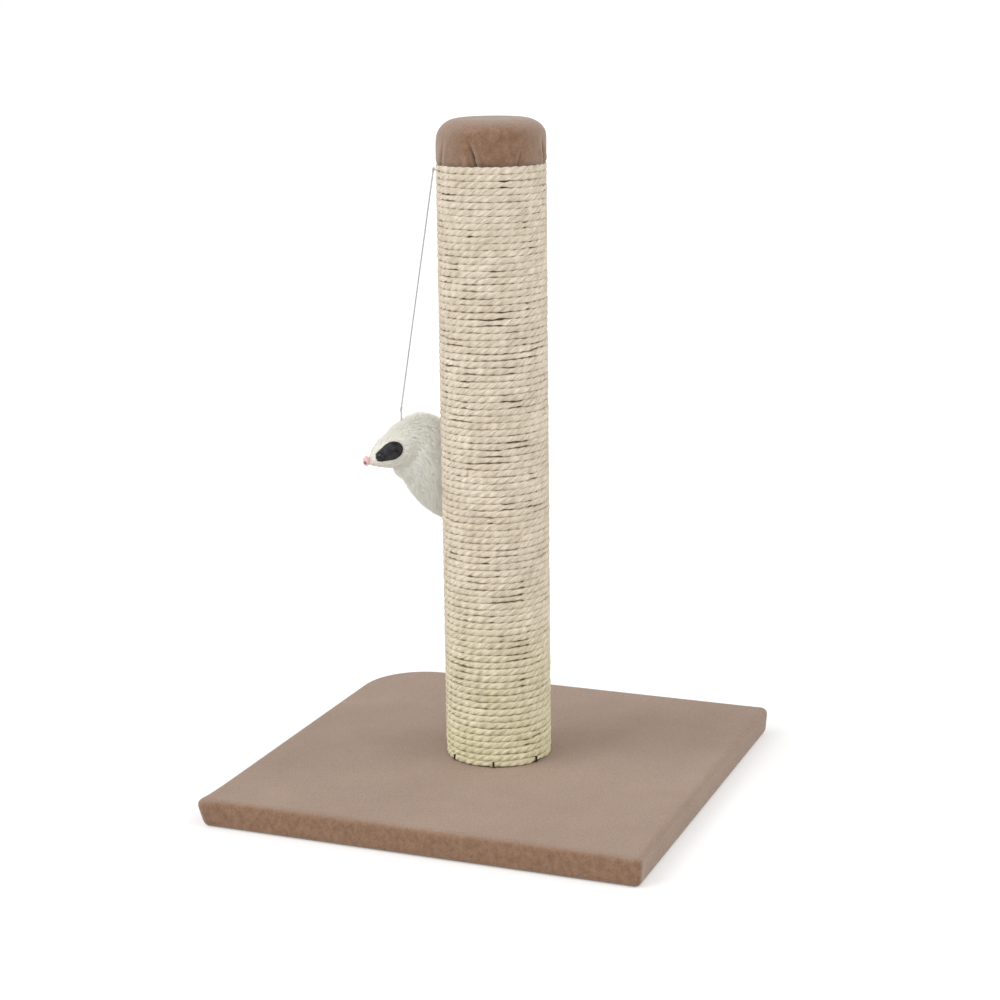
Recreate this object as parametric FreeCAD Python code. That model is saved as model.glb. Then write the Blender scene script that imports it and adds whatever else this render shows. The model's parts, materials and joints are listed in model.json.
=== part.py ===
import FreeCAD, Part
import math
import os

# A free-standing scratching post: a square plush-covered base, an upright paper tube wound with sisal
# rope, a padded plush cap, and a furry toy mouse that hangs from a string under the top turn of rope.
#
# Millimetres. The base rests on the floor at Z = 0 with its centre at the origin, and the post stands on
# that centre. Its front edge runs along X at -Y, and its back-left corner is the widely rounded one.

V = FreeCAD.Vector
ORIGIN = V(0, 0, 0)
UP = V(0, 0, 1)
ACROSS = V(0, 1, 0)
ALONG = V(1, 0, 0)

# ---------------------------------------------------------------- driving sizes

# base
board_side = 300.0
board_thick = 16.0
plush_thick = 1.9
corner_r = 4.5
back_corner_r = 48.0
cover_edge_soft = 1.8
hem_width = 30.0
hem_staples_per_side = 5
hem_staple_pitch = 50.0
hem_staple_inset = 17.0

# post
tube_out_r = 32.0
tube_wall = 4.0
rope_thick = 4.56
rope_turns = 89
winding_slack = 0.1
foot_gap = 0.2
plug_slack = 0.15
bottom_plug_thick = 30.0
top_plug_thick = 18.0
plug_staple_count = 4
plug_staple_start_angle = 45.0

# bolt that holds the post to the base
bolt_r = 4.0
bolt_length = 48.0
bolt_head_r = 9.0
bolt_head_thick = 3.2
bolt_tip_bevel = 0.8
hex_key_width = 5.0
hex_key_depth = 2.2
washer_r = 12.0
washer_thick = 2.0
bolt_hole_slack = 0.6
recess_slack = 1.5
recess_depth = 7.0
tee_flange_r = 11.0
tee_flange_thick = 1.5
tee_barrel_wall = 1.2
tee_barrel_length = 9.0
tee_prongs = 4
prong_length = 7.0
prong_width = 3.2
thread_slack = 0.05

# cap
cap_tube_length = 20.0
pad_thick = 7.2
pad_side_thick = 2.0
cap_edge_in = 16.0
cap_edge_down = 11.0
cap_sides = 48
cap_edge_steps = 5
pad_edge_steps = 3
cap_staple_count = 8
cap_staple_height = 5.0

# staples, of flat wire
wire_wide = 1.2
wire_thick = 0.7
staple_crown = 10.0
staple_leg = 8.0
staple_sink = 0.4
rope_staple_crown = 3.8
rope_staple_count = 7
rope_staple_start_angle = 234.0

# string
string_r = 0.6
knot_r = 1.3
knot_gap = 0.3
knot_round_angle = 70.0
knot_steps = 5
knot_sides = 10
string_leaves_angle = 193.7
turns_above_string = 1
tail_stand_out = 0.3

# toy mouse: its own frame has +X to the nose and +Y to its left, from the middle of the body
toy_side_angle = 151.4
toy_heading_angle = 231.7
toy_centre_height = 213.3
toy_clear = 0.4
body_half_length = 44.0
body_r = 26.7
body_pitch_angle = 58.0
body_round_angle = 80.0
body_steps = 9
fur_sides = 24
head_length = 52.0
head_r = 19.0
head_widest = 34.0
head_taper = 1.1
head_dip_angle = 20.0
head_steps = 4
head_back_levels = (0.5, 0.85)
slope_step = 0.5
nose_forward = 58.0
nose_up = 9.7
pile = 6.0
core_slack = 0.15
core_end_share = 0.4
neck_forward = 27.0
neck_up = 42.5
tie_r = 1.0
tie_length = 6.0
bead_sides = 12
bead_steps = 5
eye_r = 3.0
eye_back = 9.8
eye_stand = -1.2
eye_dome_angle = 65.0
eye_stem_angle = 35.0
eye_turn_angle = 5.5
ear_long = 12.6
ear_wide = 11.4
ear_thick = 1.2
ear_back = 18.0
ear_turn_angle = 14.5
ear_stand = 0.9
ear_sides = 20
nose_r = 2.4
nose_deep = 3.0
nose_out = 0.8
tail_length = 52.0
tail_wide = 4.5
tail_thick = 1.2
tail_bend_r = 70.0
tail_root = 5.0

# ---------------------------------------------------------------- places that follow from them

base_side = board_side + 2 * plush_thick
board_bottom = plush_thick
board_top = board_bottom + board_thick
base_top = board_top + plush_thick
winding_bottom = base_top + foot_gap
winding_top = winding_bottom + rope_turns * rope_thick
winding_r = tube_out_r + rope_thick
tube_top = winding_top + cap_tube_length
tube_in_r = tube_out_r - tube_wall
plug_r = tube_in_r - plug_slack
cap_r = tube_out_r + pad_side_thick + plush_thick
cap_top = tube_top + pad_thick + plush_thick
bottom_plug_top = base_top + bottom_plug_thick
recess_top = board_bottom + recess_depth
recess_r = washer_r + recess_slack
bolt_hole_r = bolt_r + bolt_hole_slack
head_top = recess_top - washer_thick
tee_barrel_r = bolt_r + thread_slack + tee_barrel_wall


# ---------------------------------------------------------------- small helpers

def disc(radius, low, high):
    return Part.makeCylinder(radius, high - low, V(0, 0, low))


def ring(outer_r, inner_r, low, high):
    return disc(outer_r, low, high).cut(disc(inner_r, low, high))


def group(solids):
    return Part.makeCompound(solids)


def save(name, shape):
    shape.exportStep(os.path.join("parts", name + ".step"))


def polar(radius, degrees, height=0.0):
    a = math.radians(degrees)
    return V(radius * math.cos(a), radius * math.sin(a), height)


def slab(outline, way):
    """Solid drawn out along way from a flat outline, which is closed here."""
    return Part.Face(Part.makePolygon(outline + outline[:1])).extrude(way)


def turned(outline):
    """Solid turned about Z from an outline that begins and ends on it."""
    return Part.Face(Part.makePolygon(outline + outline[:1])).revolve(ORIGIN, UP, 360)


def faceted(outline, sides):
    """A soft or tiny round piece, many-sided about Z: outline holds a radius and a height per level."""
    levels = [[polar(radius, 360 * n / sides, height) for n in range(sides)] for radius, height in outline]
    faces = [Part.Face(Part.makePolygon(end + end[:1])) for end in (levels[0], levels[-1])]
    for low, high in zip(levels, levels[1:]):
        for n in range(sides):
            m = (n + 1) % sides
            corners = [low[n], low[m], high[m], high[n], low[n]]
            faces.append(Part.Face(Part.makePolygon(corners)))
    return Part.makeSolid(Part.makeShell(faces))


def bow(half_across, half_up, first, last, steps):
    """Places round a stretch of an ellipse, from one angle to another, each across and up."""
    angles = [math.radians(first + (last - first) * n / steps) for n in range(steps + 1)]
    return [(half_across * math.cos(a), half_up * math.sin(a)) for a in angles]


# ---------------------------------------------------------------- base

def base_plate(inset, low, high):
    """The base's outline, drawn in by inset: a square with one corner cut to a wide curve."""
    half = base_side / 2 - inset
    plate = Part.makeBox(2 * half, 2 * half, high - low, V(-half, -half, low))
    for x, y in ((-half, -half), (half, -half), (half, half), (-half, half)):
        widely = x < 0 < y
        radius = (back_corner_r if widely else corner_r) - inset
        if radius > 0:
            plate = plate.makeFillet(radius, upright_edges(plate, x, y))
    return plate


def upright_edges(solid, x, y):
    close = 1e-6
    found = []
    for edge in solid.Edges:
        box = edge.BoundBox
        flat = max(abs(box.XMin - x), abs(box.XMax - x), abs(box.YMin - y), abs(box.YMax - y))
        if flat < close:
            found.append(edge)
    return found


def staple(crown, leg):
    """A flat-wire staple: crown along X with its back at Z = 0, legs along +Z."""
    half = crown / 2
    inner = half - wire_thick
    outline = [
        V(-half, 0, 0), V(half, 0, 0), V(half, 0, leg), V(inner, 0, leg),
        V(inner, 0, wire_thick), V(-inner, 0, wire_thick), V(-inner, 0, leg), V(-half, 0, leg),
    ]
    return slab(outline, ACROSS * wire_wide).translated(ACROSS * (-wire_wide / 2))


def staple_into_post(back_r, degrees, height, crown, leg, upright):
    """A staple driven straight at the post's axis, its back at back_r, its crown upright or level."""
    piece = staple(crown, leg)
    if not upright:
        piece.rotate(ORIGIN, UP, 90)
    piece.rotate(ORIGIN, ACROSS, -90)
    piece.rotate(ORIGIN, UP, degrees)
    piece.translate(polar(back_r, degrees, height))
    return piece


def make_hem_staples():
    """Staples through the turned-under plush into the board: a row on each side, one at the curve."""
    out = base_side / 2 - hem_staple_inset
    first = -hem_staple_pitch * (hem_staples_per_side - 1) / 2
    pieces = []
    for side in range(4):
        for n in range(hem_staples_per_side):
            piece = staple(staple_crown, staple_leg)
            piece.translate(V(first + n * hem_staple_pitch, -out, staple_sink))
            piece.rotate(ORIGIN, UP, 90 * side)
            pieces.append(piece)
    curve_centre = base_side / 2 - back_corner_r
    piece = staple(staple_crown, staple_leg)
    piece.rotate(ORIGIN, UP, 45)
    piece.translate(V(-curve_centre, curve_centre, staple_sink))
    piece.translate(polar(back_corner_r - hem_staple_inset, 135))
    pieces.append(piece)
    return pieces


def make_base_board():
    """Chipboard with a round recess underneath for the bolt's head and washer."""
    board = base_plate(plush_thick, board_bottom, board_top)
    board = board.cut(disc(recess_r, board_bottom, recess_top))
    return board.cut(disc(bolt_hole_r, recess_top, board_top))


def make_base_cover():
    """One sheet of plush over the top and the sides, with its hem turned under the board."""
    cover = base_plate(0, 0, base_top)
    rims = [edge for edge in cover.Edges if edge.BoundBox.ZLength < plush_thick]
    cover = cover.makeChamfer(cover_edge_soft, rims)
    cover = cover.cut(base_plate(plush_thick, board_bottom, board_top))
    cover = cover.cut(base_plate(hem_width, 0, board_bottom))
    return cover.cut(disc(bolt_hole_r, board_top, base_top))


# ---------------------------------------------------------------- bolt, washer and tee nut

def make_bolt():
    """Bolt with a wide flat head and a socket for a hex key, its thread left plain."""
    head_bottom = head_top - bolt_head_thick
    tip = head_top + bolt_length
    bolt = turned([
        V(0, 0, head_bottom), V(bolt_head_r, 0, head_bottom), V(bolt_head_r, 0, head_top),
        V(bolt_r, 0, head_top), V(bolt_r, 0, tip - bolt_tip_bevel), V(bolt_r - bolt_tip_bevel, 0, tip),
        V(0, 0, tip),
    ])
    corner_reach = hex_key_width / math.sqrt(3)
    socket = slab([polar(corner_reach, 60 * n, head_bottom) for n in range(6)], UP * hex_key_depth)
    return bolt.cut(socket)


def make_washer():
    return ring(washer_r, bolt_hole_r, head_top, recess_top)


def make_tee_nut():
    """Flange on the plug's top, barrel down inside it, and prongs that bite into the wood."""
    flange_top = bottom_plug_top + tee_flange_thick
    barrel_bottom = bottom_plug_top - tee_barrel_length
    nut = disc(tee_flange_r, bottom_plug_top, flange_top)
    nut = nut.fuse(disc(tee_barrel_r, barrel_bottom, bottom_plug_top))
    prong_r = tee_flange_r - tee_flange_thick
    half = prong_width / 2
    tooth = [
        V(prong_r, -half, bottom_plug_top), V(prong_r, half, bottom_plug_top),
        V(prong_r, 0, bottom_plug_top - prong_length),
    ]
    prong = slab(tooth, ALONG * -tee_flange_thick)
    for n in range(tee_prongs):
        turned_prong = prong.copy()
        turned_prong.rotate(ORIGIN, UP, 360 / tee_prongs * n)
        nut = nut.fuse(turned_prong)
    return nut.cut(disc(bolt_r + thread_slack, barrel_bottom, flange_top)).removeSplitter()


# ---------------------------------------------------------------- post

def make_plug_staples():
    """Staples through the tube's wall that hold the wooden plug at each end."""
    back_r = tube_out_r - staple_sink
    leg = tube_wall + staple_leg
    step = 360 / plug_staple_count
    pieces = []
    for n in range(plug_staple_count):
        degrees = plug_staple_start_angle + step * n
        for height in (base_top + bottom_plug_thick / 2, tube_top - top_plug_thick / 2):
            pieces.append(staple_into_post(back_r, degrees, height, staple_crown, leg, True))
    return pieces


def make_rope_staples():
    """Short staples over the lowest turn of rope, driven on into the tube."""
    height = winding_bottom + rope_thick / 2
    leg = rope_thick + tube_wall / 2
    step = 360 / rope_staple_count
    angles = [rope_staple_start_angle + step * n for n in range(rope_staple_count)]
    return [staple_into_post(winding_r, a, height, rope_staple_crown, leg, True) for a in angles]


def make_cap_staples():
    """Staples through the plush near its lower edge, sunk in the pile."""
    height = winding_top + cap_staple_height
    step = 360 / cap_staple_count
    back_r = cap_r - staple_sink
    leg = back_r - tube_in_r - staple_sink
    return [
        staple_into_post(back_r, step * (n + 0.5), height, staple_crown, leg, False)
        for n in range(cap_staple_count)
    ]


def make_post_tube():
    return ring(tube_out_r, tube_in_r, base_top, tube_top)


def make_bottom_plug(tee_nut):
    plug = disc(plug_r, base_top, bottom_plug_top)
    plug = plug.cut(disc(bolt_hole_r, base_top, bottom_plug_top))
    plug = plug.cut(disc(tee_barrel_r, bottom_plug_top - tee_barrel_length, bottom_plug_top))
    return plug.cut(tee_nut)


def make_top_plug():
    return disc(plug_r, tube_top - top_plug_thick, tube_top)


def make_winding(tail):
    """The outer shape of the sisal wound tight round the tube, each turn lying on the last."""
    sleeve = ring(winding_r, tube_out_r + winding_slack, winding_bottom, winding_top)
    return sleeve.cut(tail)


# ---------------------------------------------------------------- cap

def cap_form(skin, steps):
    """A short round stub with a rounded shoulder, standing on the winding, drawn in by skin."""
    radius = cap_r - skin
    top = cap_top - skin
    edge_in = cap_edge_in - skin / 2
    edge_down = cap_edge_down - skin / 2
    shoulder = [
        (radius - edge_in + across, top - edge_down + up)
        for across, up in bow(edge_in, edge_down, 0, 90, steps)
    ]
    return faceted([(radius, winding_top)] + shoulder, cap_sides)


def make_cap_cover():
    return cap_form(0, cap_edge_steps).cut(cap_form(plush_thick, pad_edge_steps))


def make_cap_pad():
    """Foam over the end of the tube and down its side, under the plush."""
    return cap_form(plush_thick, pad_edge_steps).cut(disc(tube_out_r, winding_top, tube_top))


# ---------------------------------------------------------------- where the toy hangs

heading = FreeCAD.Rotation(UP, toy_heading_angle)
body_line = V(math.cos(math.radians(body_pitch_angle)), 0, math.sin(math.radians(body_pitch_angle)))


def toy_centre():
    """The body's centre, out from the post so far that its flank just clears the winding."""
    outward = polar(1, toy_side_angle)
    along = heading.multVec(body_line).dot(outward)
    half_width = math.sqrt((body_half_length * along) ** 2 + body_r ** 2 * (1 - along ** 2))
    return polar(winding_r + toy_clear + half_width, toy_side_angle, toy_centre_height)


def place_toy(shape):
    shape.Placement = FreeCAD.Placement(toy_centre(), heading).multiply(shape.Placement)
    return shape


string_height = winding_top - turns_above_string * rope_thick
tail_end_r = winding_r + tail_stand_out
knot_reach = knot_r + knot_gap
upper_pivot = polar(tail_end_r + knot_reach, string_leaves_angle, string_height)
lower_pivot = toy_centre() + heading.multVec(V(neck_forward, 0, neck_up))
string_way = (lower_pivot - upper_pivot).normalize()
string_length = (lower_pivot - upper_pivot).Length - 2 * knot_reach


def make_string_tail():
    """The end of the string, held in the groove under the top turns and coming out level."""
    start_r = tube_out_r + winding_slack
    start = polar(start_r, string_leaves_angle, string_height)
    return Part.makeCylinder(string_r, tail_end_r - start_r, start, polar(1, string_leaves_angle))


def make_string():
    """The string pulled straight by the toy's weight, from one knot to the other."""
    start = upper_pivot + string_way * knot_reach
    return Part.makeCylinder(string_r, string_length, start, string_way)


def make_knot(centre):
    knot = faceted(bow(knot_r, knot_r, -knot_round_angle, knot_round_angle, knot_steps), knot_sides)
    knot.Placement = FreeCAD.Placement(centre, FreeCAD.Rotation(UP, string_way))
    return knot


# ---------------------------------------------------------------- toy mouse

head_back = V(-math.cos(math.radians(head_dip_angle)), 0, math.sin(math.radians(head_dip_angle)))
head_frame = FreeCAD.Placement(V(nose_forward, 0, nose_up), FreeCAD.Rotation(UP, head_back))


def head_half_width(back):
    """Half the head's width at a distance back from the nose tip."""
    if back > head_widest:
        return head_r * math.sqrt(1 - ((back - head_widest) / (head_length - head_widest)) ** 2)
    return head_r * (1 - (1 - back / head_widest) ** 2) ** head_taper


def set_on_head(shape):
    """Lay a piece drawn along +Z, from the nose backwards, along the head's own line."""
    shape.Placement = head_frame.multiply(shape.Placement)
    return shape


def along_body(shape):
    """Tip a piece drawn along Z to the slope of the hanging body."""
    shape.rotate(ORIGIN, ACROSS, 90 - body_pitch_angle)
    return shape


def mouse_body():
    """Plump egg-shaped body that hangs rump down."""
    sides = bow(body_r, body_half_length, -body_round_angle, body_round_angle, body_steps)
    return along_body(faceted(sides, fur_sides))


def mouse_head():
    """Pointed head that widens back from the nose and closes inside the body."""
    front = [head_widest * (n / head_steps) ** 2 for n in range(1, head_steps + 1)]
    behind = [head_widest + (head_length - head_widest) * share for share in head_back_levels]
    return set_on_head(faceted([(head_half_width(b), b) for b in [nose_out] + front + behind], fur_sides))


def core_form(slack):
    """The stiff moulded core inside the fur: a short drum with a tapered end fore and aft."""
    half = body_half_length - pile - slack
    wide = body_r - pile - slack
    end, waist = wide * core_end_share, half * core_end_share
    return along_body(faceted([(end, -half), (wide, -waist), (wide, waist), (end, half)], fur_sides))


def on_head(shape, back, turn_up, stand, side):
    """Set a piece drawn along +Z on the head's skin, on its left (1) or right (-1) side."""
    ahead, behind = back - slope_step, back + slope_step
    slope = (head_half_width(behind) - head_half_width(ahead)) / (behind - ahead)
    round_out = head_frame.Rotation.inverted().multVec(V(0, side, 0))
    round_out = FreeCAD.Rotation(UP, -side * turn_up).multVec(round_out)
    out = (round_out - UP * slope).normalize()
    centre = UP * back + round_out * head_half_width(back) + out * stand
    shape.Placement = FreeCAD.Placement(centre, FreeCAD.Rotation(UP, out))
    return place_toy(set_on_head(shape))


def make_eye(side):
    """Low domed bead on a short stem that is set into the head."""
    bead = faceted(bow(eye_r, eye_r, -eye_stem_angle, eye_dome_angle, bead_steps), bead_sides)
    return on_head(bead, eye_back, eye_turn_angle, eye_stand, side)


def make_ear(side):
    """Oval of black felt, glued flat against the side of the head behind the eye."""
    rim = bow(ear_long / 2, ear_wide / 2, 0, 360, ear_sides)[:-1]
    ear = slab([V(x, y, -ear_thick) for x, y in rim], UP * ear_thick)
    return on_head(ear, ear_back, ear_turn_angle, ear_stand, side)


def make_nose():
    tip = faceted([(nose_r / 2, 0), (nose_r, nose_r / 2), (nose_r, nose_deep)], bead_sides)
    return place_toy(set_on_head(tip.translated(UP * -nose_out)))


def make_tie():
    """Stitched thread that comes up through the fur at the neck to the lower knot."""
    low = V(neck_forward, 0, neck_up - knot_reach - tie_length)
    return place_toy(Part.makeCylinder(tie_r, tie_length, low))


def make_tail():
    """Flat strip of felt sewn in at the rump, hanging down in a slow curve."""
    sweep = (tail_length + tail_root) / tail_bend_r
    bends = []
    for radius in (tail_bend_r, tail_bend_r + tail_thick):
        places = [V(radius * math.cos(sweep * k), 0, -radius * math.sin(sweep * k)) for k in (0, 0.5, 1)]
        bends.append(Part.Arc(*places))
    inner, outer = bends
    outline = Part.Wire([
        inner.toShape(), Part.makeLine(inner.EndPoint, outer.EndPoint), outer.toShape(),
        Part.makeLine(outer.StartPoint, inner.StartPoint),
    ])
    strip = Part.Face(outline).extrude(ACROSS * tail_wide)
    strip.translate(V(-tail_bend_r, -tail_wide / 2, 0) - body_line * (body_half_length - tail_root))
    return place_toy(strip)


def make_pelt(pieces):
    """The furry skin, at the height of its pile, closed round the core."""
    pelt = mouse_body().fuse(mouse_head()).cut(core_form(0))
    return place_toy(pelt).cut(group(pieces))


# ---------------------------------------------------------------- build

tee_nut = make_tee_nut()
string_tail = make_string_tail()
mouse_eyes = group([make_eye(side) for side in (1, -1)])
mouse_ears = group([make_ear(side) for side in (1, -1)])
mouse_nose = make_nose()
mouse_tie = make_tie()
mouse_tail = make_tail()

save("base_board", make_base_board())
save("base_cover", make_base_cover())
save("hem_staples", group(make_hem_staples()))
save("base_bolt", make_bolt())
save("bolt_washer", make_washer())
save("tee_nut", tee_nut)

save("post_tube", make_post_tube())
save("bottom_plug", make_bottom_plug(tee_nut))
save("top_plug", make_top_plug())
save("plug_staples", group(make_plug_staples()))
save("sisal_winding", make_winding(string_tail))
save("rope_staples", group(make_rope_staples()))

save("cap_pad", make_cap_pad())
save("cap_cover", make_cap_cover())
save("cap_staples", group(make_cap_staples()))

save("string_tail", string_tail)
save("upper_knot", make_knot(upper_pivot))
save("toy_string", make_string())
save("lower_knot", make_knot(lower_pivot))

save("mouse_core", place_toy(core_form(core_slack)))
save("mouse_pelt", make_pelt([mouse_eyes, mouse_ears, mouse_nose, mouse_tie, mouse_tail]))
save("mouse_eyes", mouse_eyes)
save("mouse_ears", mouse_ears)
save("mouse_nose", mouse_nose)
save("mouse_tie", mouse_tie)
save("mouse_tail", mouse_tail)

print("overall height", round(cap_top, 2))
print("string: one straight run, no bends, length", round(string_length, 2))
print("upper pivot", upper_pivot)
print("lower pivot", lower_pivot)
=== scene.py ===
import json
import math
import bpy
import numpy as np
from mathutils import Matrix, Vector, noise


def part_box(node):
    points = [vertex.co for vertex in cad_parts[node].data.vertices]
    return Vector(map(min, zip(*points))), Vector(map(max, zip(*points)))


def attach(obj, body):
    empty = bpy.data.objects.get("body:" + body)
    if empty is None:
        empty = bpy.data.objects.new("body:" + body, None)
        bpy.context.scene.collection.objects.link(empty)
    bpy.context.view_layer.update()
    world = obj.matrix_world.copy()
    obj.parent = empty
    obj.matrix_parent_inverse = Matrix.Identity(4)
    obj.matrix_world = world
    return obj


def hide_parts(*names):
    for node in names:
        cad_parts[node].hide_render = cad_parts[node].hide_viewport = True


# A cat scratching post: plush-covered base, sisal-wound post with a plush cap, and a furry toy mouse on a
# string. Metres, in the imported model's frame: the base rests on Z = 0 and its front edge runs along X at -Y.

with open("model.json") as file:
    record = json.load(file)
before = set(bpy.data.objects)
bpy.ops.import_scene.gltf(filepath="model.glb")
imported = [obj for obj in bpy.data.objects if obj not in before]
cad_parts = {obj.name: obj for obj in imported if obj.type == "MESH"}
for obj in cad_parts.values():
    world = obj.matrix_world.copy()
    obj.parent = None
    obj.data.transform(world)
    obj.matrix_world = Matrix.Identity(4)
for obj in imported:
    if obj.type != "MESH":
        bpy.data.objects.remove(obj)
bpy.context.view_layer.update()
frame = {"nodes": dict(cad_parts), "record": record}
MM = 0.001
dice = np.random.default_rng(41)


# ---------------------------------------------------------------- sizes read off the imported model

cover_low, cover_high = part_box("base_cover")
board_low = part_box("base_board")[0]
tube_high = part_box("post_tube")[1]
rope_low, rope_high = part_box("sisal_winding")
cap_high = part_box("cap_cover")[1]

plush = board_low.z - cover_low.z
tube_r = tube_high.x
winding_r = rope_high.x
rope_thick = winding_r - tube_r
rope_turns = round((rope_high.z - rope_low.z) / rope_thick)
knots = {joint["name"]: Vector(joint["pos_m"]) for joint in frame["record"]["behaviour"]["joints"]}
upper_knot = knots["string_swing_out"]
lower_knot = knots["mouse_spin"]


# ---------------------------------------------------------------- camera, at the photograph's viewing angle

camera_place = Vector((0.53493, -1.34194, 0.54482))
camera_aim = Vector((0.00318, 0.0, 0.19925))
camera_roll = math.radians(-0.7408)
camera_lens = 78.895


def make_camera():
    ahead = (camera_aim - camera_place).normalized()
    level = ahead.cross(Vector((0, 0, 1))).normalized()
    above = level.cross(ahead)
    right = math.cos(camera_roll) * level + math.sin(camera_roll) * above
    up = math.cos(camera_roll) * above - math.sin(camera_roll) * level
    data = bpy.data.cameras.new("photo_camera")
    data.lens = camera_lens
    data.sensor_width = 36.0
    data.clip_start = 0.05
    data.clip_end = 60.0
    camera = bpy.data.objects.new("photo_camera", data)
    turn = Matrix((right, up, -ahead)).transposed()
    camera.matrix_world = Matrix.Translation(camera_place) @ turn.to_4x4()
    bpy.context.collection.objects.link(camera)
    bpy.context.scene.camera = camera


make_camera()


# ---------------------------------------------------------------- making meshes

def show(name, data, material=None):
    """Put a mesh in the scene as a smooth-shaded piece."""
    piece = bpy.data.objects.new(name, data)
    bpy.context.collection.objects.link(piece)
    if material is not None:
        data.materials.append(material)
    data.polygons.foreach_set("use_smooth", [True] * len(data.polygons))
    return piece


def lofted(name, rings, material, closed=True, laid=None):
    """Skin over rings: an array of strands, rings along each, points round each ring, and their places.

    Each ring runs anticlockwise about the way ahead. laid gives each ring's distance along and each
    point's distance round, for the material to follow.
    """
    rings = np.asarray(rings, dtype=float)
    strands, steps, around = rings.shape[:3]
    index = np.arange(strands * steps * around).reshape(strands, steps, around)
    beside = np.roll(index, -1, axis=2)
    quads = np.stack([index[:, :-1], beside[:, :-1], beside[:, 1:], index[:, 1:]], axis=-1)
    faces = quads.reshape(-1, 4).tolist()
    if closed:
        faces += index[:, 0, ::-1].tolist() + index[:, -1].tolist()
    data = bpy.data.meshes.new(name)
    data.from_pydata(rings.reshape(-1, 3), [], faces)
    if laid is not None:
        along, across = laid
        a = np.broadcast_to(along[:, None], (steps, around))
        corner_u = np.stack([a[:-1], a[:-1], a[1:], a[1:]], axis=-1)
        near, far = across[:, :-1], across[:, 1:]
        corner_v = np.stack([near[:-1], far[:-1], far[1:], near[1:]], axis=-1)
        one = np.stack([corner_u, corner_v], axis=-1).reshape(-1, 2)
        rest = len(data.loops) - strands * len(one)
        places = np.concatenate([np.tile(one, (strands, 1)), np.zeros((rest, 2))])
        data.uv_layers.new(name="laid").data.foreach_set("uv", places.ravel())
    return show(name, data, material)


def unit(vectors):
    return vectors / np.linalg.norm(vectors, axis=-1, keepdims=True)


def tubes(lines, radii, sides):
    """Rings of round tubes along centre lines: lines is strands by points, radii one per point."""
    ahead = unit(np.gradient(lines, axis=1))
    across = unit(np.cross(ahead, (0.31, 0.23, 0.92)))
    up = np.cross(ahead, across)
    turn = 2 * np.pi * np.arange(sides) / sides
    out = across[:, :, None] * np.cos(turn)[:, None] + up[:, :, None] * np.sin(turn)[:, None]
    return lines[:, :, None] + out * np.asarray(radii)[..., None, None]


def flat_hairs(lines, outward, wide, thick):
    """Rings of flat hairs, three corners each, with their broad faces turned outward."""
    ahead = unit(np.gradient(lines, axis=1))
    across = unit(np.cross(ahead, outward[:, None]))
    up = np.cross(across, ahead)
    side = across * (np.asarray(wide) / 2)[:, None]
    return np.stack([lines - side, lines + up * thick, lines + side], axis=2)


def wander(length, spacing, places):
    """A smooth random line from about -1 to 1, its turns about spacing apart."""
    count = int(length / spacing) + 4
    stops = dice.uniform(-1, 1, count)
    at = np.asarray(places) / spacing
    first = np.clip(at.astype(int), 0, count - 2)
    part = at - first
    ease = part * part * (3 - 2 * part)
    return stops[first] * (1 - ease) + stops[first + 1] * ease


def rise(value, low, high):
    """0 below low, 1 above high and a smooth step between."""
    part = np.clip((value - low) / (high - low), 0, 1)
    return part * part * (3 - 2 * part)


def settle(piece):
    """Apply a piece's modifiers to its mesh."""
    shape = piece.evaluated_get(bpy.context.evaluated_depsgraph_get())
    made = bpy.data.meshes.new_from_object(shape)
    piece.modifiers.clear()
    piece.data = made
    return piece


# ---------------------------------------------------------------- materials

def hex_colour(text):
    """An sRGB hex colour, turned to the linear values that a shader takes."""
    shares = [int(text[n:n + 2], 16) / 255 for n in (1, 3, 5)]
    return [s / 12.92 if s <= 0.04045 else ((s + 0.055) / 1.055) ** 2.4 for s in shares] + [1.0]


def add(tree, kind, feeds=None, **settings):
    """Add a shader node: feeds are its inputs, each a plain value or another node's output."""
    made = tree.nodes.new("ShaderNode" + kind)
    for name, value in settings.items():
        setattr(made, name, value)
    for name, value in (feeds or {}).items():
        if isinstance(value, bpy.types.NodeSocket):
            tree.links.new(value, made.inputs[name])
        else:
            made.inputs[name].default_value = value
    return made


def new_material(name, **finish):
    """A material with a Principled surface, given its roughness and the like by name."""
    material = bpy.data.materials.new(name)
    material.use_nodes = True
    tree = material.node_tree
    surface = tree.nodes["Principled BSDF"]
    for socket, value in finish.items():
        surface.inputs[socket.replace("_", " ").title().replace("Ior", "IOR")].default_value = value
    return material, tree, surface


def mottled(tree, place, light, dark, size, spread=1.0):
    """A colour that drifts between two hex colours in patches of about size metres."""
    patches = add(tree, "TexNoise", {"Vector": place, "Scale": 1 / size, "Detail": 4.0})
    share = add(tree, "MapRange", {
        0: patches.outputs[0], 1: 0.5 - 0.25 / spread, 2: 0.5 + 0.25 / spread, 3: 0.0, 4: 1.0})
    return add(tree, "Mix", {0: share.outputs[0], 6: hex_colour(dark), 7: hex_colour(light)},
               data_type="RGBA").outputs[2]


def relief(tree, height, depth, under=None):
    """Bump of depth metres from a height of 0 to 1, over another bump if there is one."""
    feeds = {"Height": height, "Distance": depth, "Strength": 1.0}
    if under is not None:
        feeds["Normal"] = under
    return add(tree, "Bump", feeds).outputs[0]


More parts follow.
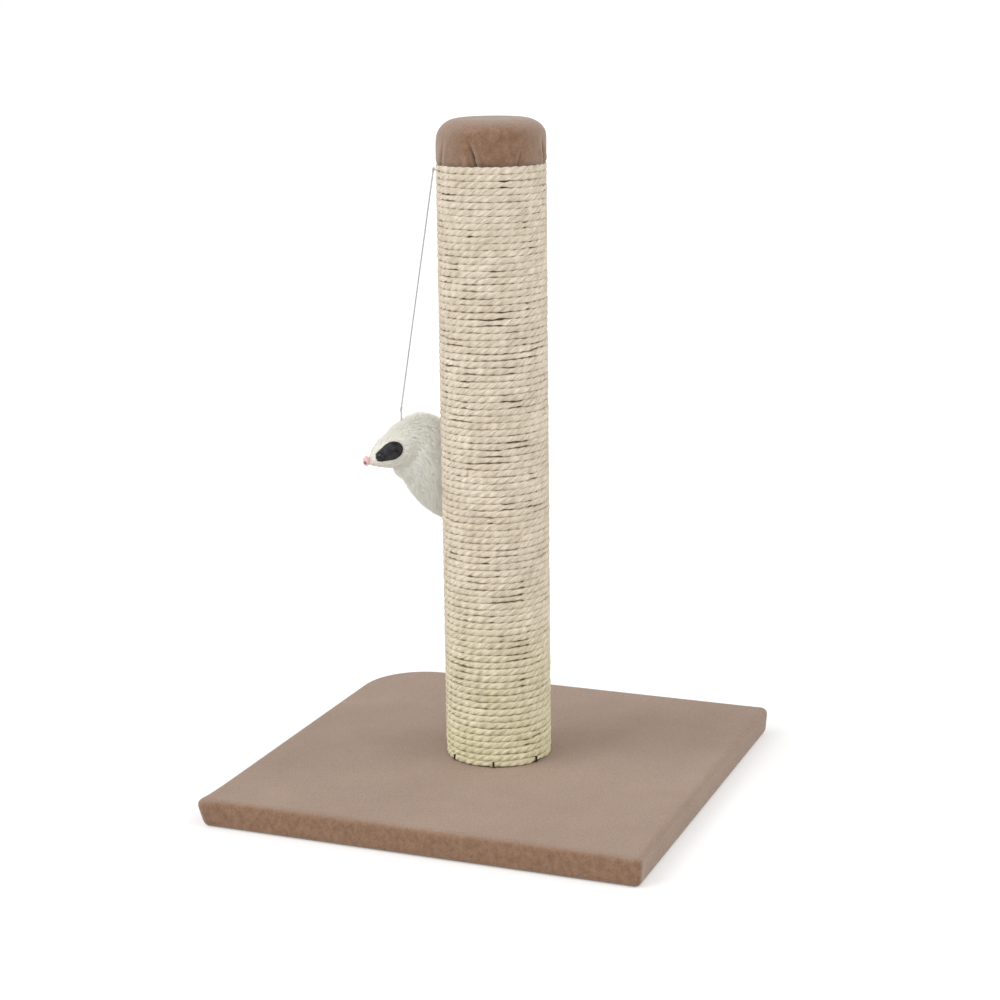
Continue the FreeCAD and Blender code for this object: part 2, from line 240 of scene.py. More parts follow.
def make_plush():
    """Polyester velour: a knitted back with a short, dense, sheared pile of about 2 mm.

    The pile stands at slightly different slants, so it shows soft lighter and darker patches. Its tips
    catch the light at a glance, which greys and lightens it there. Painted sheen: faces turned to the
    front are given a deeper, browner colour, and the top and all other sides a lighter, greyer one.
    Painted shade: in folds and along the hem the colour is darkened by an attribute on the mesh.
    Single fibres are too fine to show, so the grain is drawn 1.4 mm across.
    """
    material, tree, surface = new_material(
        "velour_sheared_taupe", roughness=0.95, sheen_weight=0.6, sheen_roughness=0.4,
        specular_ior_level=0.1, ior=1.5)
    surface.inputs["Sheen Tint"].default_value = hex_colour("#e6dcd6")
    place = add(tree, "TexCoord").outputs["Object"]
    upright = add(tree, "Mapping", {"Vector": place, "Scale": (1.0, 1.0, 0.75)}).outputs[0]
    # Painted sheen: faces turned this way, to the front, take the darker, browner colour of pile seen head-on;
    # the top and other sides take the lighter, greyer colour of sheen at a glance.
    head_on_azimuth = math.radians(-66)
    outward = add(tree, "NewGeometry").outputs["Normal"]
    facing_front = add(tree, "VectorMath", {0: outward, 1: (math.cos(head_on_azimuth), math.sin(head_on_azimuth), 0)},
                 operation="DOT_PRODUCT").outputs["Value"]
    flat = add(tree, "MapRange", {0: facing_front, 1: 0.9, 2: 0.42}).outputs[0]
    painted_sheen_colour = mottled(tree, place, "#a28b7a", "#978070", 45 * MM)
    head_on_colour = mottled(tree, upright, "#9d7d66", "#7c604c", 4 * MM, 0.8)
    broad = add(tree, "Mix", {0: flat, 6: head_on_colour, 7: painted_sheen_colour}, data_type="RGBA").outputs[2]
    pile = add(tree, "TexNoise", {"Vector": place, "Scale": 1 / (1.4 * MM), "Detail": 3.0, "Roughness": 0.65})
    grain = add(tree, "MapRange", {0: pile.outputs[0], 1: 0.3, 2: 0.7, 3: 0.86, 4: 1.12}).outputs[0]
    colour = add(tree, "VectorMath", {0: broad, "Scale": grain}, operation="SCALE").outputs[0]
    # Painted shade: the cap's folds and hem are darkened by the attribute read here.
    crease_shade_mask = add(tree, "Attribute", attribute_name="painted_crease_shade").outputs["Fac"]
    shade = add(tree, "MapRange", {0: crease_shade_mask, 1: 0.0, 2: 1.0, 3: 1.0, 4: 0.42}).outputs[0]
    colour = add(tree, "VectorMath", {0: colour, "Scale": shade}, operation="SCALE").outputs[0]
    tree.links.new(colour, surface.inputs["Base Color"])
    streaks = add(tree, "TexNoise", {"Vector": upright, "Scale": 1 / (2.5 * MM), "Detail": 3.0}).outputs[0]
    lumps = relief(tree, streaks, 0.6 * MM)
    level = add(tree, "NewGeometry").outputs["Normal"]
    under = add(tree, "Mix", {0: flat, 4: lumps, 5: level}, data_type="VECTOR").outputs[1]
    tree.links.new(relief(tree, pile.outputs[0], 0.5 * MM, under), surface.inputs["Normal"])
    return material


def make_sisal():
    """Three-strand sisal rope, of coarse dry leaf fibre, unoiled and unbleached.

    It is pale straw with a low natural lustre, drifts from pink-cream at the top to green-yellow low
    down, as undyed batches do, and its fibres show as fine streaks along each strand. A fibre is about
    0.2 mm thick, too fine to show, so the streaks are drawn 0.8 mm wide and 7 mm long.
    """
    material, tree, surface = new_material(
        "sisal_twisted_natural", roughness=0.72, specular_ior_level=0.35, ior=1.53, sheen_weight=0.08)
    place = add(tree, "TexCoord").outputs["Object"]
    height = add(tree, "SeparateXYZ", {0: place}).outputs["Z"]
    low = add(tree, "MapRange", {0: height, 1: rope_low.z + 0.14, 2: rope_low.z, 3: 0.0, 4: 1.0}).outputs[0]
    dry = mottled(tree, place, "#ecdfcb", "#d5c6af", 14 * MM)
    green = mottled(tree, place, "#ede6c4", "#d9d1a8", 14 * MM)
    broad = add(tree, "Mix", {0: low, 6: dry, 7: green}, data_type="RGBA").outputs[2]
    laid = add(tree, "UVMap", uv_map="laid").outputs[0]
    drawn = add(tree, "Mapping", {"Vector": laid, "Scale": (1 / (7 * MM), 1 / (0.8 * MM), 1.0)}).outputs[0]
    fibre = add(tree, "TexNoise", {"Vector": drawn, "Scale": 1.0, "Detail": 3.0}).outputs[0]
    streak = add(tree, "MapRange", {0: fibre, 1: 0.33, 2: 0.67, 3: 0.7, 4: 1.16}).outputs[0]
    colour = add(tree, "VectorMath", {0: broad, "Scale": streak}, operation="SCALE").outputs[0]
    tree.links.new(colour, surface.inputs["Base Color"])
    tree.links.new(relief(tree, fibre, 0.35 * MM), surface.inputs["Normal"])
    return material


def make_grained(name, light, dark, size, stretch, depth, **finish):
    """A stuff whose grain is noise of one size, drawn out by stretch along X, Y and Z."""
    material, tree, surface = new_material(name, **finish)
    place = add(tree, "TexCoord").outputs["Object"]
    drawn = add(tree, "Mapping", {"Vector": place, "Scale": stretch}).outputs[0]
    tree.links.new(mottled(tree, drawn, light, dark, size), surface.inputs["Base Color"])
    grain = add(tree, "TexNoise", {"Vector": drawn, "Scale": 1 / size, "Detail": 5.0}).outputs[0]
    tree.links.new(relief(tree, grain, depth), surface.inputs["Normal"])
    return material


plush_velour = make_plush()
sisal = make_sisal()
# Chipboard: pressed and glued wood chips, raw, so pale and dark flakes of a few millimetres show.
chipboard = make_grained("chipboard_raw_pressed", "#c9ab80", "#8a6842", 3 * MM, (1, 1, 2.5), 0.4 * MM,
                         roughness=0.85)
# Kraft board: brown paper wound in a spiral and glued, with a dull face and faint fibres.
kraft_board = make_grained("kraft_board_spiral_wound", "#a98a66", "#8c6e4e", 4 * MM, (1, 1, 3), 0.1 * MM,
                           roughness=0.9)
# Pine: sawn softwood plug, its growth rings drawn out along the grain.
pine = make_grained("pine_sawn", "#d9b98a", "#b98f5c", 5 * MM, (0.12, 1, 1), 0.2 * MM, roughness=0.75)
# Galvanised steel wire: drawn, dipped in zinc and flattened, grey with a soft shine.
galvanised_wire = make_grained("galvanised_steel_drawn", "#b4b5b6", "#8e9092", 1.5 * MM, (1, 1, 0.3),
                               0.03 * MM, metallic=1.0, roughness=0.42)
# Bare steel wire gone dark brown with age: it shows as dark ticks on the lowest turn of rope.
dark_wire = make_grained("steel_wire_oxidised", "#4c3f2c", "#2b241b", 1.2 * MM, (1, 1, 1), 0.05 * MM,
                         metallic=0.6, roughness=0.6)
# Zinc-plated steel: turned or pressed, then plated bright, slightly cloudy.
zinc_plate = make_grained("zinc_plated_steel", "#c4c6c2", "#a3a6a4", 6 * MM, (1, 1, 1), 0.02 * MM,
                          metallic=1.0, roughness=0.3)
# Cotton string: two plies twisted, bleached, matt and a little fuzzy.
cotton = make_grained("cotton_string_twisted", "#dededc", "#bebebc", 0.6 * MM, (1, 1, 0.4), 0.08 * MM,
                      roughness=0.9, sheen_weight=0.15)
# Knitted back of the fur, matt and creamier than the pile.
fur_back = make_grained("acrylic_knitted_back", "#f7f4ea", "#ece8dc", 1 * MM, (1, 1, 1), 0.2 * MM,
                        roughness=0.95)
# Polystyrene core: injection moulded, unpainted, with a faint sheen.
core_plastic = make_grained("polystyrene_moulded", "#d8d5cc", "#cbc8bf", 8 * MM, (1, 1, 1), 0.02 * MM,
                            roughness=0.5)
# Acrylic bead: moulded and tumble-polished, black, so it mirrors the lamps in a small sharp glint.
black_bead = make_grained("acrylic_bead_polished", "#101012", "#08080a", 2 * MM, (1, 1, 1), 0.002 * MM,
                          roughness=0.08, ior=1.49)
# Pressed wool felt, dyed black: dull, its loose fibres giving a grey bloom. The fibres are too fine to
# show, so the bloom is drawn in patches of 3.5 mm.
black_felt = make_grained("felt_pressed_black", "#424245", "#050506", 3.5 * MM, (1, 1, 1), 0.15 * MM,
                          roughness=0.95, sheen_weight=0.35, sheen_roughness=0.4)
# Pressed wool felt for the tail, off-white and die-cut: dull faces between crisp edges.
tail_felt = make_grained("felt_pressed_white", "#e3dfd2", "#c6c0b0", 1.5 * MM, (1, 1, 1), 0.15 * MM,
                         roughness=0.95, sheen_weight=0.2)
# Polyurethane foam: open cells about a millimetre across, cut, pale yellow.
foam = make_grained("polyurethane_foam_open_cell", "#ebe6cf", "#cfc8ab", 1 * MM, (1, 1, 1), 0.5 * MM,
                    roughness=0.95)


def tinted_near(name, light, dark, size, tint, spot, reach, depth, **finish):
    """A mottled stuff that takes on a tint within reach of one spot."""
    material, tree, surface = new_material(name, **finish)
    place = add(tree, "TexCoord").outputs["Object"]
    plain = mottled(tree, place, light, dark, size)
    away = add(tree, "VectorMath", {0: place, 1: spot}, operation="DISTANCE").outputs["Value"]
    share = add(tree, "MapRange", {0: away, 1: reach, 2: reach / 3, 3: 0.0, 4: 1.0}).outputs[0]
    colour = add(tree, "Mix", {0: share, 6: plain, 7: hex_colour(tint)}, data_type="RGBA").outputs[2]
    tree.links.new(colour, surface.inputs["Base Color"])
    grain = add(tree, "TexNoise", {"Vector": place, "Scale": 1 / size, "Detail": 5.0}).outputs[0]
    tree.links.new(relief(tree, grain, depth), surface.inputs["Normal"])
    return material


def finish_node(name, material):
    """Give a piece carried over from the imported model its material."""
    for slot in frame["nodes"][name].material_slots:
        slot.material = material


for part_name, stuff in {
    "base_board": chipboard, "post_tube": kraft_board, "bottom_plug": pine, "top_plug": pine,
    "base_bolt": zinc_plate, "bolt_washer": zinc_plate, "tee_nut": zinc_plate,
    "hem_staples": galvanised_wire, "plug_staples": galvanised_wire, "cap_staples": galvanised_wire,
    "rope_staples": dark_wire, "mouse_core": core_plastic,
}.items():
    finish_node(part_name, stuff)


# ---------------------------------------------------------------- string and its knots

string_thick = 1.2 * MM
ply_r = 0.33 * MM
ply_lay = 3.2 * MM
knot_reach = 1.6 * MM
string_way = (lower_knot - upper_knot).normalized()


def string_route():
    """The string's line, pulled straight by the toy: its two ends and a point near each knot."""
    near_knot = 6 * string_thick
    start = upper_knot + string_way * knot_reach
    end = lower_knot - string_way * knot_reach
    stops = [start, start + string_way * near_knot, end - string_way * near_knot, end]
    line = bpy.data.curves.new("string_line", "CURVE")
    line.dimensions = "3D"
    line.resolution_u = 160
    spline = line.splines.new("NURBS")
    spline.points.add(len(stops) - 1)
    for point, stop in zip(spline.points, stops):
        point.co = (*stop, 1.0)
    spline.order_u = 3
    spline.use_endpoint_u = True
    holder = bpy.data.objects.new("string_line", line)
    drawn = bpy.data.meshes.new_from_object(holder)
    return np.array([v.co[:] for v in drawn.vertices])


def twisted(line, ply_offset, ply_radius, lay, sides):
    """Rings of two plies wound round each other along a line."""
    run = np.concatenate([[0], np.cumsum(np.linalg.norm(np.diff(line, axis=0), axis=1))])
    ahead = unit(np.gradient(line, axis=0))
    aside = unit(np.cross(ahead, (0.2, 0.9, 0.3)))
    up = np.cross(ahead, aside)
    plies = []
    for half in (0, np.pi):
        turn = half + 2 * np.pi * run / lay
        plies.append(line + ply_offset * (np.cos(turn)[:, None] * aside + np.sin(turn)[:, None] * up))
    plies = np.array(plies)
    return tubes(plies, np.full(plies.shape[:2], ply_radius), sides)


string_points = string_route()
toy_string = lofted("toy_string_plies", twisted(string_points, 0.27 * MM, ply_r, ply_lay, 7), cotton)


def tie_knot(name, centre, body, node):
    """A small overhand knot pulled tight, its two loose plies pressed into one lump."""
    loop = np.linspace(0, 2 * np.pi, 64, endpoint=False)
    across, along = 0.17 * MM, 1.35 * MM
    x = across * (np.sin(loop) + 2 * np.sin(2 * loop))
    y = across * (np.cos(loop) - 2 * np.cos(2 * loop))
    z = -along * np.sin(3 * loop)
    lay = string_way.to_track_quat("Z", "X").to_matrix()
    line = np.stack([x, y, z], axis=-1) @ np.array(lay).T + np.array(centre)
    line = np.concatenate([line, line[:1]])[None]
    knot = lofted(name, tubes(line, np.full(line.shape[:2], 0.42 * MM), 8), cotton)
    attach(knot, body)
    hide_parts(node)
    return knot


knot_above = tie_knot("knot_above", upper_knot, "string_head", "upper_knot")
knot_below = tie_knot("knot_below", lower_knot, "string_foot", "lower_knot")
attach(toy_string, "string")
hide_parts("toy_string")


def short_plies(name, start, end, body, node):
    line = np.linspace(start, end, 24)
    piece = lofted(name, twisted(line, 0.27 * MM, ply_r, ply_lay, 7), cotton)
    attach(piece, body)
    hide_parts(node)


tail_out = Vector((upper_knot.x, upper_knot.y, 0)).normalized()
tail_start = tail_out * (tube_r + 0.6 * MM) + Vector((0, 0, upper_knot.z))
short_plies("string_tail_plies", tail_start, upper_knot - tail_out * MM, "post", "string_tail")
tie_low, tie_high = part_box("mouse_tie")
tie_line = [Vector((lower_knot.x, lower_knot.y, z)) for z in (tie_low.z, tie_high.z + 0.6 * MM)]
short_plies("mouse_tie_plies", *tie_line, "mouse", "mouse_tie")


# ---------------------------------------------------------------- sisal rope, wound turn by turn

rope_r = rope_thick / 2
rope_line_r = tube_r + rope_r
rope_lay = 18.5 * MM
rope_start = math.radians(112)
step_starts = 0.84
level_turns = 20
path_turns = rope_turns - 1 + step_starts
rope_length = path_turns * 2 * math.pi * rope_line_r
groove_depth = 0.2
pressed_tall = 1.09
pressed_square = 0.5
fibre_slant = 0.35
open_gap_turn = 4.63
rope_pieces = 6


def turns_climbed(turns):
    """Height of the rope in turns.

    Near both ends it lies level and steps up at the back, and between them it climbs evenly.
    """
    whole = np.floor(turns)
    stepped = whole + rise(turns - whole, step_starts, 1.0)
    even = rise(turns, 1, level_turns) * (1 - rise(turns, path_turns - level_turns, path_turns - 1))
    return stepped * (1 - even) + turns * even


def rope_height(turns):
    return rope_low.z + rope_r + turns_climbed(turns) * rope_thick


def squared(share):
    """Turns a round section into the squarish one of rope pressed on all sides."""
    return np.sign(share) * np.abs(share) ** pressed_square


def wind_rope():
    """One long three-strand rope, its strands slanting up to the right, in a few pieces end to end.

    Where it is loose it is thinner and lies deeper, which leaves the dark gaps between turns.
    """
    points_round = 18
    steps = int(rope_length / rope_lay * 10)
    turns = np.linspace(0, path_turns, steps + 1)
    run = turns * 2 * math.pi * rope_line_r
    angle = rope_start + 2 * math.pi * turns
    loose = rise(wander(rope_length, 9 * MM, run), 0.4, 1.0)
    from_gap = (turns - open_gap_turn) * 2 * math.pi * rope_line_r
    loose = np.maximum(loose, 1.3 * np.exp(-(from_gap / (4 * MM)) ** 2))
    size = rope_r * (1 + 0.025 * wander(rope_length, 40 * MM, run))
    tall = size * (pressed_tall - 0.4 * loose + 0.06 * wander(rope_length, 6 * MM, run))
    lift = 0.2 * MM * wander(rope_length, 22 * MM, run)
    out = rope_line_r - 0.15 * MM - 0.3 * MM * loose + 0.15 * MM * wander(rope_length, 30 * MM, run)
    drawn_in = 1 - rise(turns, 0.2, 1.3)
    out -= 0.5 * MM * drawn_in
    lift += 0.3 * MM * drawn_in
    radial = np.stack([np.cos(angle), np.sin(angle), np.zeros_like(angle)], axis=-1)
    centre = radial * out[:, None]
    centre[:, 2] = rope_height(turns) + lift
    twist = 2 * math.pi * run / rope_lay + 0.5 * wander(rope_length, 60 * MM, run)
    around = 2 * math.pi * np.arange(points_round) / points_round
    lobes = 1 - groove_depth * (1 - np.abs(np.cos(1.5 * around)))
    turned = around[None] - twist[:, None]
    outward, upward = squared(np.sin(turned)), squared(np.cos(turned))
    rings = centre[:, None] + radial[:, None] * (size[:, None] * lobes * outward)[..., None]
    rings[..., 2] += tall[:, None] * lobes * upward
    laid_round = np.arange(points_round + 1)[None] * 2 * math.pi * rope_r / points_round
    laid_round = laid_round - fibre_slant * (2 * math.pi * rope_r / rope_lay) * run[:, None]
    cuts = np.linspace(0, steps, rope_pieces + 1).astype(int)
    for n, (first, last) in enumerate(zip(cuts, cuts[1:])):
        piece = lofted(f"sisal_rope_{n + 1}", rings[None, first:last + 1], sisal,
                       laid=(run[first:last + 1], laid_round[first:last + 1]))
        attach(piece, "post")
        if n == 0:
            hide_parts("sisal_winding")


wind_rope()


# ---------------------------------------------------------------- plush over the base

cover_half = cover_high.x
corner_r = 4.5 * MM
back_corner_r = 48 * MM
top_round = 4.0 * MM
foot_round = 4.2 * MM
hem_width = 30 * MM
bolt_hole_r = 4.6 * MM


def base_edge():
    """Places round the base's edge, closer together near its corners, and the way out from each."""
    near = np.array([0, 0.7, 1.4, 2.1, 2.8, 3.6, 4.4, 5.2, 6.0, 6.8, 7.6, 8.6, 10, 12, 15, 19]) * MM
    places, ways = [], []
    for n, (sx, sy) in enumerate(((-1, -1), (1, -1), (1, 1), (-1, 1))):
        radius = back_corner_r if n == 3 else corner_r
        middle = np.array([sx, sy]) * (cover_half - radius)
        first = math.pi + n * math.pi / 2
        for a in np.linspace(first, first + math.pi / 2, 36 if n == 3 else 11):
            way = np.array([math.cos(a), math.sin(a)])
            places.append(middle + way * radius)
            ways.append(way)
        next_radius = back_corner_r if n == 2 else corner_r
        long = 2 * cover_half - radius - next_radius
        middle_run = np.linspace(near[-1], long - near[-1], int(long / (4 * MM)))[1:-1]
        start, ahead = places[-1], np.array([-way[1], way[0]])
        for run in np.concatenate([near[1:], middle_run, long - near[:0:-1]]):
            places.append(start + ahead * run)
            ways.append(way)
    return np.array(places), np.array(ways)


def shape_corners(rings, edge, flat_way):
    """Where the plush is gathered at a corner it stands out, most of all just under the top."""
    height = rings[..., 2]
    swell = np.interp(height, np.array((0, 3, 14.5, 17.5, 19.8)) * MM, (0, 0.05, 1.0, 0.9, 0.45))
    reach = 1 - rise(np.linalg.norm(rings[..., :2] - edge, axis=-1), 4 * MM, 16 * MM)
    moved = np.zeros_like(rings)
    for sx, sy, stands in ((-1, -1, 4.2), (1, -1, 1.5), (1, 1, 1.5)):
        corner = np.array([sx, sy]) * cover_half
        near = np.exp(-np.linalg.norm(edge - corner, axis=-1) / (9 * MM))
        moved += flat_way * (near * stands * MM * swell * reach)[..., None]
    return moved


def make_base_cover():
    edge, way = base_edge()
    angle = np.arctan2(edge[:, 1], edge[:, 0])
    round_foot = np.stack([np.cos(angle), np.sin(angle)], axis=-1)
    top = cover_high.z
    rings = []

    def ring(flat, height):
        rings.append(np.column_stack([flat, np.full(len(flat), height)]))

    inner_edge = edge - way * top_round
    foot_r = winding_r + 4 * MM
    for radius in (bolt_hole_r, 16 * MM, tube_r, winding_r - 1 * MM, winding_r + 1.5 * MM, foot_r):
        ring(round_foot * radius, top)
    foot = round_foot * foot_r
    for share in 1 - (1 - np.linspace(0, 1, 26)[1:]) ** 1.25:
        ring(foot * (1 - share) + inner_edge * share, top)
    for a in np.radians((18, 36, 54, 72, 90)):
        ring(edge - way * top_round * (1 - math.sin(a)), top - top_round * (1 - math.cos(a)))
    for height in np.linspace(top - top_round, foot_round, 8)[1:]:
        ring(edge, height)
    for a in np.radians((18, 36, 54, 72, 90)):
        ring(edge - way * foot_round * (1 - math.cos(a)), foot_round * (1 - math.sin(a)))
    folded = edge - way * foot_round
    for share in np.linspace(0, 1, 9)[1:]:
        ring(folded * (1 - share * (hem_width - foot_round) / cover_half), 0.0)
    rings = np.array(rings)[::-1]
    flat_way = np.column_stack([way, np.zeros(len(way))])
    rings += shape_corners(rings, edge, flat_way)
    cover = lofted("base_plush", rings[None], plush_velour, closed=False)
    shell = cover.modifiers.new("thickness", "SOLIDIFY")
    shell.thickness = plush - 0.1 * MM
    shell.offset = -1.0
    settle(cover)
    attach(cover, "post")
    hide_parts("base_cover")


make_base_cover()


# ---------------------------------------------------------------- cap

cap_r = cap_high.x
cap_edge_in = 16 * MM
cap_edge_down = 11 * MM
camera_side = math.atan2(camera_place.y, camera_place.x)


def rope_top(angle):
    """Height of the highest turn's upper side at an angle round the post."""
    end = (rope_start + 2 * math.pi * path_turns) % (2 * math.pi)
    back = ((end - angle) % (2 * math.pi)) / (2 * math.pi)
    return rope_height(path_turns - back) + rope_r


def cap_rings(skin, steps_round, low_edge):
    """Rings from the cap's lower edge to its middle, drawn in by skin."""
    angle = np.linspace(0, 2 * np.pi, steps_round, endpoint=False)
    across, up = cap_edge_in - skin / 2, cap_edge_down - skin / 2
    radius, top = cap_r - skin, cap_high.z - skin
    rings = []
    for share in np.linspace(0, 1, 13):
        height = low_edge(angle) * (1 - share) + (top - up) * share
        rings.append(np.stack([radius * np.cos(angle), radius * np.sin(angle), height], axis=-1))
    for a in np.linspace(0, np.pi / 2, 15)[1:]:
        r = radius - across + across * math.cos(a)
        height = np.full_like(angle, top - up + up * math.sin(a))
        rings.append(np.stack([r * np.cos(angle), r * np.sin(angle), height], axis=-1))
    for r in (radius - across) * np.array([0.85, 0.7, 0.5, 0.3, 0.1, 0.01]):
        rings.append(np.stack([r * np.cos(angle), r * np.sin(angle), np.full_like(angle, top)], axis=-1))
    return np.array(rings), angle


def make_cap():
    """Gathered plush, its hem drawn in to the rope, and the foam pad under it.

    Each gather has its degrees round from the camera's side, its depth and width in mm, and its lean.
    """
    rings, angle = cap_rings(0, 540, lambda a: rope_top(a) - 0.3 * MM)
    height = rings[..., 2]
    hem = rope_top(angle)
    low = 1 - rise(height, rope_high.z + 3 * MM, rope_high.z + 20 * MM)
    low *= 0.35 + 0.65 * rise(height - hem, 0, 2.5 * MM)
    out = np.stack([np.cos(angle), np.sin(angle), np.zeros_like(angle)], axis=-1)
    move = 0.25 * MM + 0.4 * MM * np.array([[noise.noise(Vector(p) * 90) for p in ring] for ring in rings])
    rough = np.array([noise.noise(Vector(p) * 300) for p in rings[0]])
    move -= (0.9 + 0.5 * rough) * MM * np.exp(-((height - hem) / (1.3 * MM)) ** 2)
    # Painted shade along the hem, where it tucks in under the rope's top turn.
    painted_fold_shade = (0.6 + 0.7 * rough) * np.exp(-((height - hem) / (1.8 * MM)) ** 2)
    gathers = ((-15, 2.5, 1.6, -0.11), (74, 2.2, 1.6, -0.08), (-66, 1.0, 1.5, 0.1), (28, 0.8, 1.5, 0.1),
               (115, 1.6, 1.4, 0.15), (160, 1.2, 1.5, -0.15), (205, 1.7, 1.4, 0.12), (250, 1.1, 1.5, 0.1))
    for degrees, depth, wide, lean in gathers:
        centre = camera_side + math.radians(degrees) + lean * (height - rope_high.z) / (12 * MM)
        off = ((angle - centre + np.pi) % (2 * np.pi) - np.pi) * cap_r
        fold = 0.45 * np.exp(-(off / (1.5 * wide * MM)) ** 2) + 0.75 * np.exp(-(off / (0.5 * wide * MM)) ** 2)
        move -= depth * MM * fold * low
        # Painted shade down the crease of each gather.
        painted_fold_shade += min(1.0, 0.5 * depth) * np.exp(-(off / (0.42 * wide * MM)) ** 2) * low
        move += 0.3 * depth * MM * np.exp(-((np.abs(off) - 3 * wide * MM) / (1.6 * wide * MM)) ** 2) * low
    slump = np.exp(-((height - cap_high.z + cap_edge_down / 2) / (6 * MM)) ** 2)
    left = (angle - camera_side + np.pi / 2 + np.pi) % (2 * np.pi) - np.pi
    move -= 1.3 * MM * slump * np.exp(-(left / 0.9) ** 2)
    rings += out * move[..., None]
    cap = lofted("cap_plush", rings[None], plush_velour, closed=False)
    crease_shade_mask = cap.data.attributes.new("painted_crease_shade", "FLOAT", "POINT")
    crease_shade_mask.data.foreach_set("value", np.clip(painted_fold_shade, 0, 1).ravel())
    cap.data.update()
    shell = cap.modifiers.new("thickness", "SOLIDIFY")
    shell.thickness = plush - 0.2 * MM
    shell.offset = -1.0
    settle(cap)
    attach(cap, "post")
    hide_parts("cap_cover")
    rings, angle = cap_rings(plush + 0.5 * MM, 96, lambda a: rope_top(a) + 0.2 * MM)
    inside = []
    pad_in_r = tube_r + 0.15 * MM
    for r, z in ((pad_in_r, rope_high.z), (pad_in_r, tube_high.z), (0.2 * MM, tube_high.z)):
        inside.append(np.stack([r * np.cos(angle), r * np.sin(angle), np.full_like(angle, z)], axis=-1))
    pad = lofted("cap_foam", np.concatenate([np.array(inside)[::-1], rings])[None], foam, closed=True)
    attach(pad, "post")
    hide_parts("cap_pad")


make_cap()


# ---------------------------------------------------------------- toy mouse

toy_turn = Matrix.Rotation(math.radians(231.7), 3, "Z")
body_pitch = math.radians(58)
body_line = Vector((math.cos(body_pitch), 0, math.sin(body_pitch)))
body_half = 44 * MM
body_r = 26.5 * MM
body_low = Vector((0, 0, -1)) * MM
throat, throat_r = Vector((21.5, 0, 4.3)) * MM, 11.5 * MM
toy_middle = lower_knot - toy_turn @ Vector((27, 0, 42.5)) * MM
nose_tip = Vector((56.8, 0, 7.0)) * MM
head_dip = math.radians(17.4)
head_back = Vector((-math.cos(head_dip), 0, math.sin(head_dip)))
head_r = 17.8 * MM
head_widest = 44.2 * MM
head_length = 57.9 * MM
head_taper = 1.03


def to_toy(points):
    """From the toy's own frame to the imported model's."""
    return np.asarray(points) @ np.array(toy_turn).T + np.array(toy_middle)


# Acrylic fur: knitted pile, brushed flat, so it lies in soft white locks with a faint gloss. Dye rubbed
# off the nose leaves it faintly pink there.
fur = tinted_near("acrylic_fur_brushed", "#fffff8", "#f8f7ee", 9 * MM, "#f3d9da", to_toy(nose_tip), 9 * MM,
                  0.02 * MM, roughness=0.6, sheen_weight=0.5)
# Flocked vinyl nose tip: pale pink with a powdery face, and a darker rose spot low at its front.
pink_flock = tinted_near("vinyl_flocked_pink", "#fbdcdd", "#f0b9c0", 2.5 * MM, "#94606f",
                         to_toy(nose_tip + Vector((-0.3, 1.4, 1.3)) * MM), 1.8 * MM, 0.1 * MM,
                         roughness=0.8, sheen_weight=0.2)


def head_half_width(back):
    """Half the head's width at a distance back from the nose tip."""
    if back > head_widest:
        return head_r * math.sqrt(max(0.0, 1 - ((back - head_widest) / (head_length - head_widest)) ** 2))
    return head_r * (1 - (1 - back / head_widest) ** 2) ** head_taper


def pile_height(back):
    """How deep the fur is, from short on the muzzle to long on the body."""
    return (0.8 + 2.0 * rise(back, 4 * MM, 44 * MM)) * MM


def turned_along(line_start, line_way, radii, runs, sides):
    """Rings round a line in the toy's frame, each a radius at a run along it."""
    aside = line_way.cross(Vector((0, 1, 0))).normalized()
    left = line_way.cross(aside)
    turn = np.linspace(0, 2 * np.pi, sides, endpoint=False)
    out = np.cos(turn)[:, None] * np.array(aside) + np.sin(turn)[:, None] * np.array(left)
    centres = np.array(line_start) + np.array(runs)[:, None] * np.array(line_way)
    return centres[:, None] + np.array(radii)[:, None, None] * out


def mouse_skin():
    """The knitted skin under the fur: egg-shaped body, pointed head and throat, joined and smoothed."""
    slope = np.radians(np.linspace(-89, 89, 30))
    drawn_in = pile_height(60 * MM)
    body = turned_along(body_low, body_line, (body_r - drawn_in) * np.cos(slope),
                        (body_half - drawn_in) * np.sin(slope), 48)
    chin = turned_along(throat, head_back, throat_r * np.cos(slope), throat_r * np.sin(slope), 48)
    back = head_length * np.linspace(0.012, 0.995, 40) ** 1.4
    wide = [max(0.3 * MM, head_half_width(b) - pile_height(b)) for b in back]
    head = turned_along(nose_tip, head_back, wide, back, 48)
    shapes = []
    for name, rings in (("mouse_body", body), ("mouse_head", head), ("mouse_throat", chin)):
        shapes.append(lofted(name, to_toy(rings)[None], fur_back))
    skin = shapes[0]
    for other in shapes[1:]:
        joined = skin.modifiers.new("join", "BOOLEAN")
        joined.object = other
        joined.operation = "UNION"
    fine = skin.modifiers.new("fine", "REMESH")
    fine.mode = "VOXEL"
    fine.voxel_size = 1.1 * MM
    ease = skin.modifiers.new("ease", "SMOOTH")
    ease.iterations = 16
    settle(skin)
    for other in shapes[1:]:
        bpy.data.objects.remove(other)
    skin.name = "mouse_skin"
    skin.data.polygons.foreach_set("use_smooth", [True] * len(skin.data.polygons))
    return skin


def in_toy(points):
    return (np.asarray(points) - np.array(toy_middle)) @ np.array(toy_turn)


def on_head(back, lift, stand, side):
    """Place and way out of a piece on the head's side, its left (1) or right (-1)."""
    step = 0.5 * MM
    slope = (head_half_width(back + step) - head_half_width(back - step)) / (2 * step)
    up = Vector((math.sin(head_dip), 0, math.cos(head_dip)))
    round_out = Vector((0, side, 0)) * math.cos(lift) + up * math.sin(lift)
    out = (round_out - head_back * slope).normalized()
    middle = nose_tip + head_back * back + round_out * head_half_width(back) + out * stand
    return middle, out


